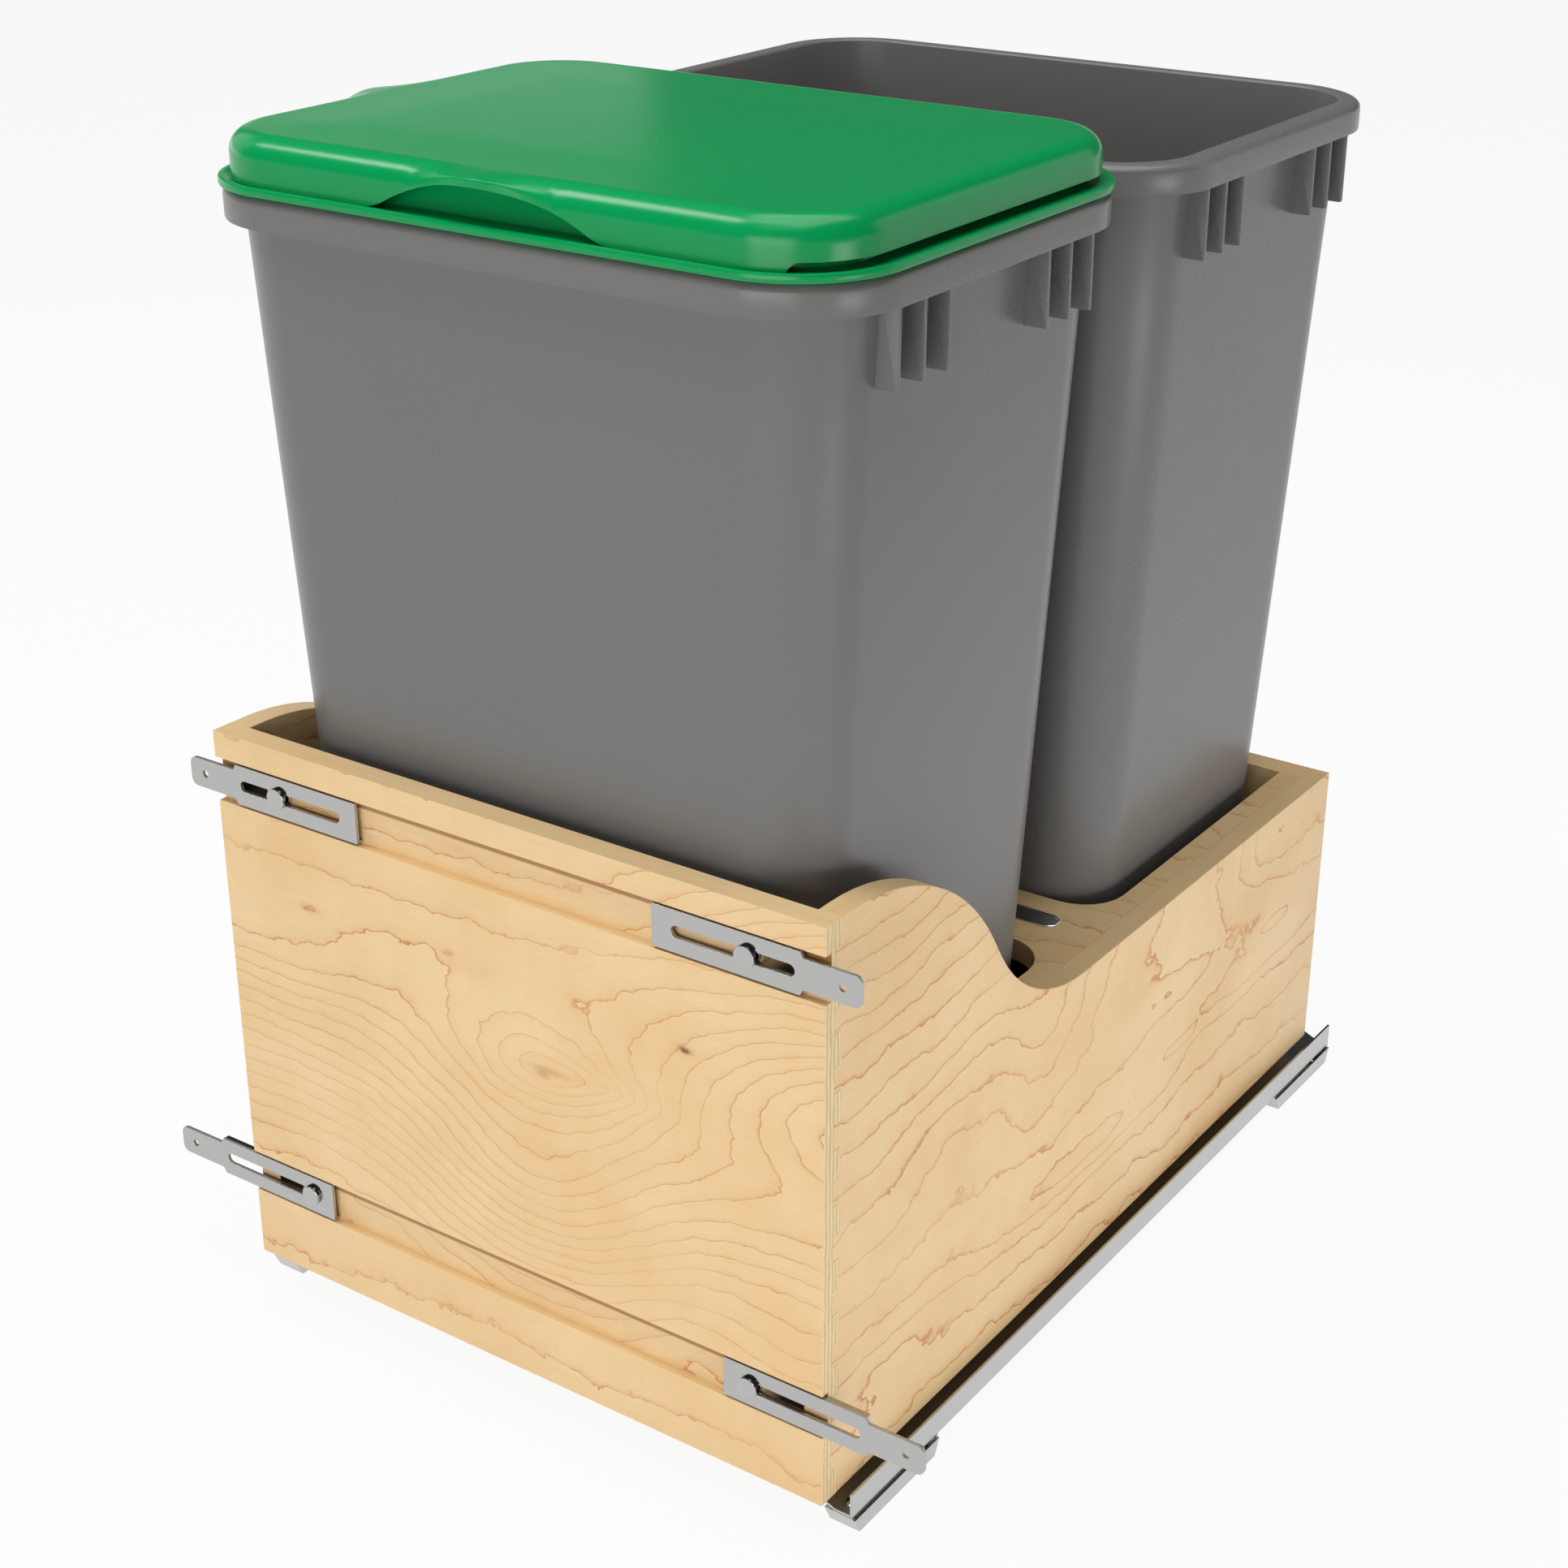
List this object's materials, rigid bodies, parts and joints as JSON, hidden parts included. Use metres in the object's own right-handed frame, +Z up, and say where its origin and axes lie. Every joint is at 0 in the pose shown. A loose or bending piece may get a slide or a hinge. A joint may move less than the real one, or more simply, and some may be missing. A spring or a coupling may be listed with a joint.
{
  "type": "pull out trash cabinet",
  "caption": "Pull-out waste cabinet insert: plywood box with swept sides on telescoping bottom slides, tall tapered bins hanging through a deck, a hinged lid and sliding door brackets.",
  "frame": {"origin": "centre of the unit's outline on the cabinet floor, at the underside of the rail feet", "axes": "+Z up; -Y is the front, the way the drawer pulls out; +X is the unit's right as seen from the front, where the lid hinges"},
  "size_m": [0.4804, 0.5616, 0.6297],
  "materials": {
    "maple_plywood": "satin lacquer",
    "galvanised_steel": "dull zinc",
    "bright_zinc": "bright plated",
    "grey_plastic": "satin moulded",
    "green_plastic": "gloss moulded",
    "black_plastic": "satin moulded"
  },
  "bodies": {
    "cabinet_rails": {"slide_rail_left": "galvanised_steel", "slide_rail_right": "galvanised_steel", "front_foot_left": "galvanised_steel", "front_foot_right": "galvanised_steel", "rear_foot_left": "galvanised_steel", "rear_foot_right": "galvanised_steel", "rail_screw_left_1": "bright_zinc", "rail_screw_left_2": "bright_zinc", "rail_screw_left_3": "bright_zinc", "rail_screw_left_4": "bright_zinc", "rail_screw_right_1": "bright_zinc", "rail_screw_right_2": "bright_zinc", "rail_screw_right_3": "bright_zinc", "rail_screw_right_4": "bright_zinc", "damper_left": "black_plastic", "damper_right": "black_plastic"},
    "lower_cages": {"lower_cage_left": "bright_zinc", "lower_cage_right": "bright_zinc"},
    "middle_members": {"middle_member_left": "galvanised_steel", "middle_member_right": "galvanised_steel"},
    "upper_cages": {"upper_cage_left": "bright_zinc", "upper_cage_right": "bright_zinc"},
    "drawer": {"front_panel": "maple_plywood", "side_panel_left": "maple_plywood", "side_panel_right": "maple_plywood", "back_panel": "maple_plywood", "deck_panel": "maple_plywood", "bottom_panel": "maple_plywood", "drawer_runner_left": "galvanised_steel", "drawer_runner_right": "galvanised_steel", "locking_clip_left": "black_plastic", "locking_clip_right": "black_plastic", "bracket_knob_upper_left": "bright_zinc", "bracket_knob_upper_right": "bright_zinc", "bracket_knob_lower_left": "bright_zinc", "bracket_knob_lower_right": "bright_zinc", "bracket_nut_upper_left": "bright_zinc", "bracket_nut_upper_right": "bright_zinc", "bracket_nut_lower_left": "bright_zinc", "bracket_nut_lower_right": "bright_zinc", "adjuster_screw_upper_left": "bright_zinc", "adjuster_screw_upper_right": "bright_zinc", "adjuster_screw_lower_left": "bright_zinc", "adjuster_screw_lower_right": "bright_zinc"},
    "bracket_upper_left": {"door_bracket_upper_left": "galvanised_steel"},
    "bracket_upper_right": {"door_bracket_upper_right": "galvanised_steel"},
    "bracket_lower_left": {"door_bracket_lower_left": "galvanised_steel"},
    "bracket_lower_right": {"door_bracket_lower_right": "galvanised_steel"},
    "front_bin": {"front_bin": "grey_plastic"},
    "rear_bin": {"rear_bin": "grey_plastic"},
    "lid_frame": {"lid_frame": "green_plastic", "lid_hinge_pin_front": "bright_zinc", "lid_hinge_pin_rear": "bright_zinc"},
    "lid_cover": {"lid_cover": "green_plastic"}
  },
  "joints": [
    {"name": "drawer_slide", "type": "slide", "parent": "cabinet_rails", "child": "drawer", "axis": [0, -1, 0], "range_m": [0, 0.5]},
    {"name": "middle_members_slide", "type": "slide", "parent": "cabinet_rails", "child": "middle_members", "axis": [0, -1, 0], "range_m": [0, 0.25]},
    {"name": "lower_cages_slide", "type": "slide", "parent": "cabinet_rails", "child": "lower_cages", "axis": [0, -1, 0], "range_m": [0, 0.125]},
    {"name": "upper_cages_slide", "type": "slide", "parent": "cabinet_rails", "child": "upper_cages", "axis": [0, -1, 0], "range_m": [0, 0.375]},
    {"name": "bracket_upper_left_slide", "type": "slide", "parent": "drawer", "child": "bracket_upper_left", "axis": [-1, 0, 0], "range_m": [-0.023, 0.0386]},
    {"name": "bracket_upper_right_slide", "type": "slide", "parent": "drawer", "child": "bracket_upper_right", "axis": [1, 0, 0], "range_m": [-0.023, 0.0386]},
    {"name": "bracket_lower_left_slide", "type": "slide", "parent": "drawer", "child": "bracket_lower_left", "axis": [-1, 0, 0], "range_m": [-0.0604, 0.0012]},
    {"name": "bracket_lower_right_slide", "type": "slide", "parent": "drawer", "child": "bracket_lower_right", "axis": [1, 0, 0], "range_m": [-0.0604, 0.0012]},
    {"name": "front_bin_lift", "type": "slide", "parent": "drawer", "child": "front_bin", "axis": [0, 0, 1], "range_m": [0, 0.3]},
    {"name": "rear_bin_lift", "type": "slide", "parent": "drawer", "child": "rear_bin", "axis": [0, 0, 1], "range_m": [0, 0.3]},
    {"name": "lid_lift", "type": "slide", "parent": "front_bin", "child": "lid_frame", "axis": [0, 0, 1], "range_m": [0, 0.05]},
    {"name": "lid_hinge", "type": "hinge", "parent": "lid_frame", "child": "lid_cover", "pos_m": [0.1693, -0.14067, 0.6144], "axis": [0, 1, 0], "range_deg": [0, 92]}
  ],
  "couplings": [
    {"joint": "middle_members_slide", "follows": "drawer_slide", "ratio": 0.5},
    {"joint": "lower_cages_slide", "follows": "drawer_slide", "ratio": 0.25},
    {"joint": "upper_cages_slide", "follows": "drawer_slide", "ratio": 0.75}
  ]
}
